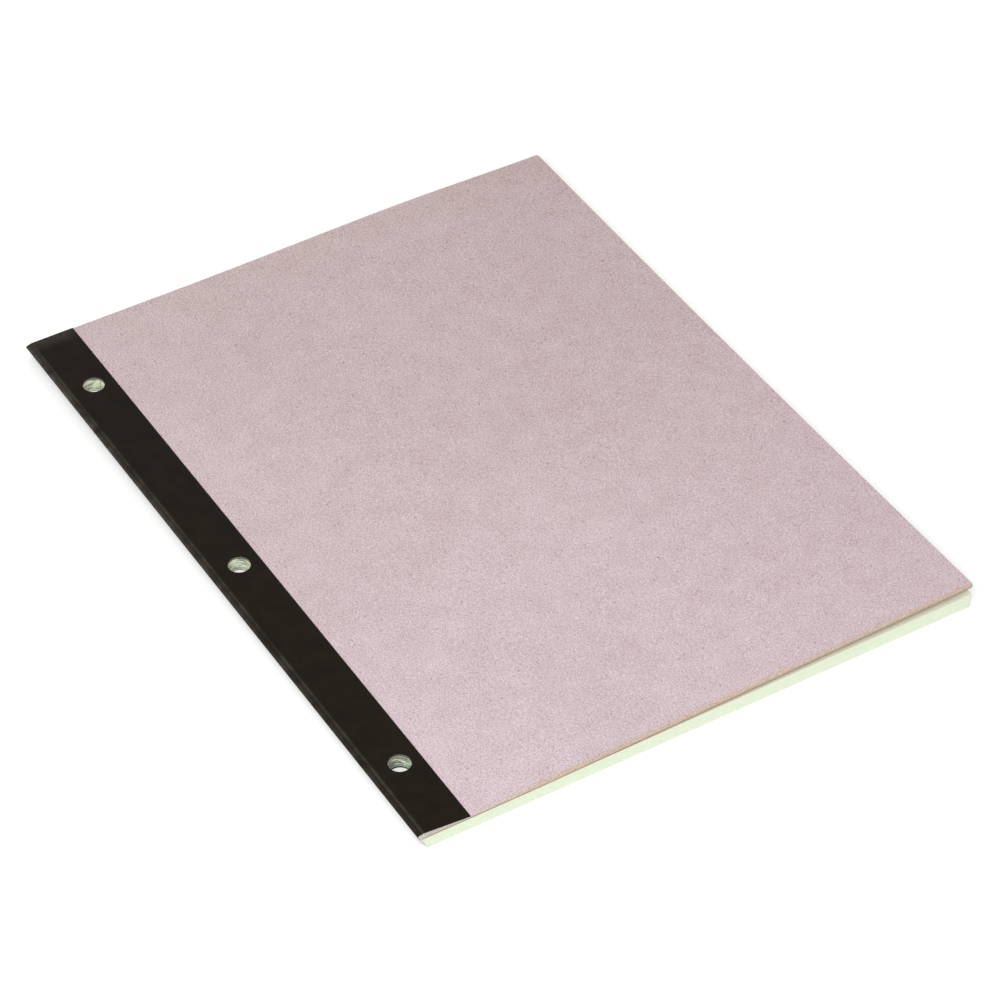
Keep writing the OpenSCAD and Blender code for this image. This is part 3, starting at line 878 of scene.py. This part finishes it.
# %% Geometry tree: moves and materials
LAST, TOP, MOVED = 4, 5, 1    # a Mix node's two vector inputs and its vector output
named = {}
for title, kind in (("top_move", "FLOAT_VECTOR"), ("last_move", "FLOAT_VECTOR"), ("outward", "FLOAT_VECTOR"),
                    ("share", "FLOAT"), ("drag", "FLOAT"), ("side", "FLOAT")):
    named[title] = add(pile, "GeometryNodeInputNamedAttribute", {"Name": title}, data_type=kind)[0]
move = add(pile, MIX, {"Factor": named["share"], LAST: named["last_move"], TOP: named["top_move"]},
           data_type="VECTOR")[MOVED]
pull = add(pile, VECTOR, {0: named["outward"], "Scale": named["drag"]}, operation="SCALE")[0]
offset = add(pile, VECTOR, {0: move, 1: pull}, operation="ADD")[0]
loose = add(pile, "GeometryNodeSetPosition", {"Geometry": real, "Offset": offset})[0]
faced = add(pile, "GeometryNodeSetMaterial", {"Geometry": loose, "Material": given["Face"]})[0]
is_edge = add(pile, MATH, {0: named["side"], 1: OUTLINE - 0.5}, operation="GREATER_THAN")[0]
edged = add(pile, "GeometryNodeSetMaterial",
            {"Geometry": faced, "Selection": is_edge, "Material": given["Edge"]})[0]
add(pile, "NodeGroupOutput", {0: edged})
print(f"sheet pile: {len(pile.nodes)} nodes")

# %% [markdown]
# A template is one punched sheet, trimmed a little all round so that no sheet strays out of the pad's box.
# The tree is then run on it once for each body, and its result becomes a plain mesh.

# %% Templates and piles
TRIM, PAPER_SKIN = 0.2 * MM, 0.097 * MM
SHIFT, RAGGED, SEED = 0.05 * MM, 0.11 * MM, 7
RISE_SHARE, SINK_RUN, FLOOR_GAP = 0.12, 30 * MM, 0.02 * MM
SHEET_CORNER_R = 1.0 * MM
BACK_W = back_high[0] - SPINE_X
sheet_hole_u = HOLE_X - SPINE_X
sheet_holes = [(sheet_hole_u, v) for v in HOLE_VS]


def sheet_point(u, v, depth):
    """A point of the top sheet, with its fore corners rounded and its edges trimmed."""
    u, v = rounded(u, v, SHEET_W, SHEET_CORNER_R)
    x = SPINE_X + u * (SHEET_W - TRIM) / SHEET_W
    y = FOOT_Y + TRIM + v * (SHEET_L - 2 * TRIM) / SHEET_L
    return x, y, CREASE_Z - depth


def sheet_pile(name, us, vs, first, count):
    """One mesh of count sheets, numbered downwards from the cover, made by the geometry tree."""
    template = plate(name, us, vs, sheet_holes, PAPER_SKIN, sheet_point)
    template.transform(Matrix.Translation((0, 0, -(first - 1) * SHEET_T)))
    top_move, last_move = [], []
    for point in template.vertices:
        u, v = point.co.x - SPINE_X, point.co.y - FOOT_Y
        top_move += (0, 0, RISE_SHARE * cover_height(point.co.x - COVER_X, v))
        last_move += (SPINE_LEAN * max(0, 1 - u / (sheet_hole_u - HOLE_REACH)), 0,
                      (FLOOR_GAP - TAPE_T) * smooth((u - BACK_W) / SINK_RUN))
    for title, moves in (("top_move", top_move), ("last_move", last_move)):
        template.attributes.new(title, "FLOAT_VECTOR", "POINT").data.foreach_set("vector", moves)
    piece = bpy.data.objects.new(name, template)
    scene.collection.objects.link(piece)
    maker = piece.modifiers.new("sheet pile", "NODES")
    maker.node_group = pile
    values = {"Count": count, "Pitch": SHEET_T, "First": first, "In the pad": len(sheet_nodes),
              "Shift": SHIFT, "Ragged": RAGGED, "Seed": SEED, "Face": ledger_paper, "Edge": paper_edge}
    for title, value in values.items():
        maker[sockets[title]] = value
    bpy.context.view_layer.update()
    done = bpy.data.meshes.new_from_object(piece.evaluated_get(bpy.context.evaluated_depsgraph_get()))
    piece.modifiers.clear()
    piece.data = done
    return piece


print(f"a sheet is {PAPER_SKIN / MM} mm thick and strays by up to {SHIFT / MM} mm")

# %% Block of sheets
PAPER_HOLE_STEPS, PAPER_CORNER_STEPS = 8, 3
block_us = grid_lines(0, 1, sheet_hole_u - HOLE_REACH, PAPER_HOLE_STEPS, sheet_hole_u + HOLE_REACH,
                      10, SHEET_W - SHEET_CORNER_R, PAPER_CORNER_STEPS, SHEET_W)
block_vs = with_corners(hole_stops(PAPER_HOLE_STEPS, 2, 5, 5, 2), SHEET_CORNER_R, PAPER_CORNER_STEPS)
block = sheet_pile("ledger_sheets_block", block_us, block_vs,
                   len(leaf_bodies) + 1, len(sheet_nodes) - len(leaf_bodies))
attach(block, "pad_block")
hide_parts(*sheet_nodes[len(leaf_bodies):])
print(f"block: {len(block.data.polygons)} faces")

# %% [markdown]
# A real leaf stays glued at the spine and bends just beside it, so each of the first leaves is its own piece,
# with a fine grid along its first few millimetres.

# %% The first leaves, one piece each
BEND_START, BEND_END = 0.3 * MM, 5.0 * MM
leaf_us = grid_lines(0, 1, BEND_START, 9, sheet_hole_u - HOLE_REACH, PAPER_HOLE_STEPS,
                     sheet_hole_u + HOLE_REACH, 12, SHEET_W - SHEET_CORNER_R, PAPER_CORNER_STEPS, SHEET_W)
leaf_vs = with_corners(hole_stops(PAPER_HOLE_STEPS, 3, 7, 7, 3), SHEET_CORNER_R, PAPER_CORNER_STEPS)
for number, body in enumerate(leaf_bodies, 1):
    leaf = sheet_pile(f"ledger_leaf_{number:02d}", leaf_us, leaf_vs, number, 1)
    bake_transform(leaf)
    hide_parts(sheet_nodes[number - 1])
print(f"{len(leaf_bodies)} leaves of {len(leaf.data.polygons)} faces")
